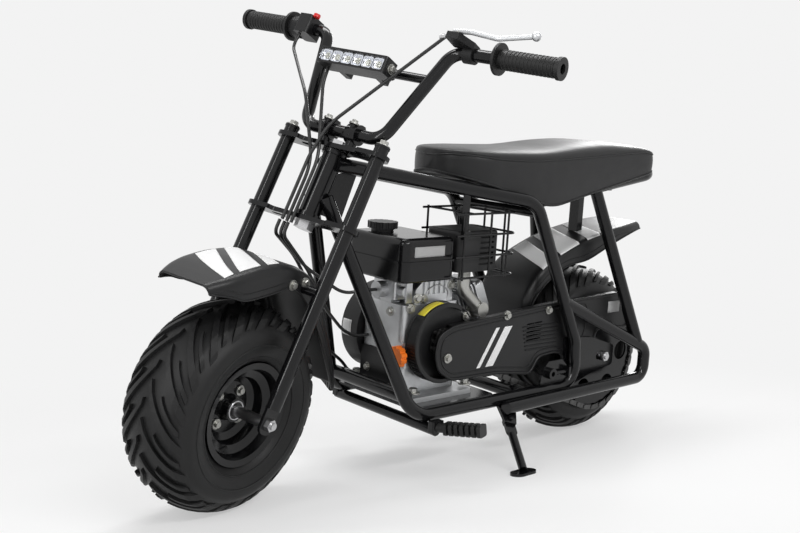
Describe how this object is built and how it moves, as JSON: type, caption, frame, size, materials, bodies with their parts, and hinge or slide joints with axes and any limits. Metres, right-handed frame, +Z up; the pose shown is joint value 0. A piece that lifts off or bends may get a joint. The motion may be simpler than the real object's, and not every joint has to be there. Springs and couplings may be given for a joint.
{
  "type": "minibike",
  "caption": "Small two-wheeled motorbike with a tube cradle frame, long seat, high handlebar with a light bar, and an open utility engine with chain drive, on its side stand.",
  "frame": {"origin": "middle of the bounding box at floor level, with both tyres and the stand's foot on the floor", "axes": "+X ahead, +Y to the bike's left, +Z up; the bike leans 7 degrees left on its side stand with the fork turned 14 degrees left"},
  "size_m": [1.2234, 0.6656, 0.876],
  "materials": {
    "gloss_black": "gloss black enamel",
    "satin_black": "satin black",
    "black_vinyl": "satin vinyl cover",
    "tyre_rubber": "matte rubber",
    "cast_alloy": "fine cast surface",
    "bright_steel": "bright steel",
    "muffler_steel": "heat-proof dark grey",
    "grip_rubber": "matte moulded rubber",
    "cable_sheath": "smooth sheath",
    "orange_plastic": "moulded",
    "lamp_silver": "plated reflector",
    "clear_lens": "clear moulded lens"
  },
  "bodies": {
    "front_wheel": {"front_tyre": "tyre_rubber", "front_rim": "gloss_black"},
    "rear_wheel": {"rear_tyre": "tyre_rubber", "rear_rim": "gloss_black", "rear_sprocket": "bright_steel", "brake_drum": "gloss_black"},
    "frame": {"head_tube": "gloss_black", "top_rails": "gloss_black", "rear_uprights": "gloss_black", "lower_rails": "gloss_black", "down_tubes": "gloss_black", "cross_members": "gloss_black", "hoop_stays": "gloss_black", "hoop_rails": "gloss_black", "seat_rails": "gloss_black", "seat_struts": "gloss_black", "tail_bar": "gloss_black", "dropouts": "gloss_black", "rear_axle": "bright_steel", "chain_tensioner": "bright_steel", "engine_plate": "gloss_black", "peg_bar": "gloss_black", "foot_pegs": "grip_rubber", "engine_block": "cast_alloy", "recoil_starter": "satin_black", "engine_shroud": "cast_alloy", "fuel_tank": "gloss_black", "fuel_cap": "satin_black", "muffler": "muffler_steel", "exhaust_elbow": "bright_steel", "muffler_cage": "gloss_black", "carburettor": "cast_alloy", "oil_cap": "orange_plastic", "clutch_guard": "satin_black", "drive_chain": "bright_steel", "chain_cover": "satin_black", "seat": "black_vinyl", "seat_pan": "gloss_black", "rear_fender": "satin_black", "fender_stays": "gloss_black", "engine_cables": "cable_sheath", "stand_bracket": "gloss_black"},
    "fork": {"fork_legs": "gloss_black", "front_axle": "bright_steel", "upper_crown": "gloss_black", "lower_crown": "gloss_black", "steering_stem": "bright_steel", "handlebar": "gloss_black", "handlebar_crossbar": "gloss_black", "bar_clamps": "gloss_black", "grips": "grip_rubber", "throttle_pod": "satin_black", "brake_perch": "satin_black", "brake_lever": "cast_alloy", "light_bar": "gloss_black", "light_reflectors": "lamp_silver", "light_lens": "clear_lens", "front_fender": "satin_black", "control_cables": "cable_sheath"},
    "side_stand": {"side_stand": "gloss_black"}
  },
  "joints": [
    {"name": "steering", "type": "hinge", "parent": "frame", "child": "fork", "pos_m": [0.25224, -0.02596, 0.52948], "axis": [-0.4298, 0.11, 0.8962], "range_deg": [-38, 10]},
    {"name": "front_wheel_spin", "type": "hinge", "parent": "fork", "child": "front_wheel", "pos_m": [0.43599, -0.06603, 0.17619], "axis": [-0.2185, 0.9504, -0.2214], "continuous": true},
    {"name": "rear_wheel_spin", "type": "hinge", "parent": "frame", "child": "rear_wheel", "pos_m": [-0.43365, -0.06925, 0.17746], "axis": [-0.0001, 0.9925, -0.1219], "continuous": true},
    {"name": "side_stand_fold", "type": "hinge", "parent": "frame", "child": "side_stand", "pos_m": [-0.11173, 0.06009, 0.08021], "axis": [0.0463, 0.6917, 0.7207], "range_deg": [0, 94]}
  ]
}
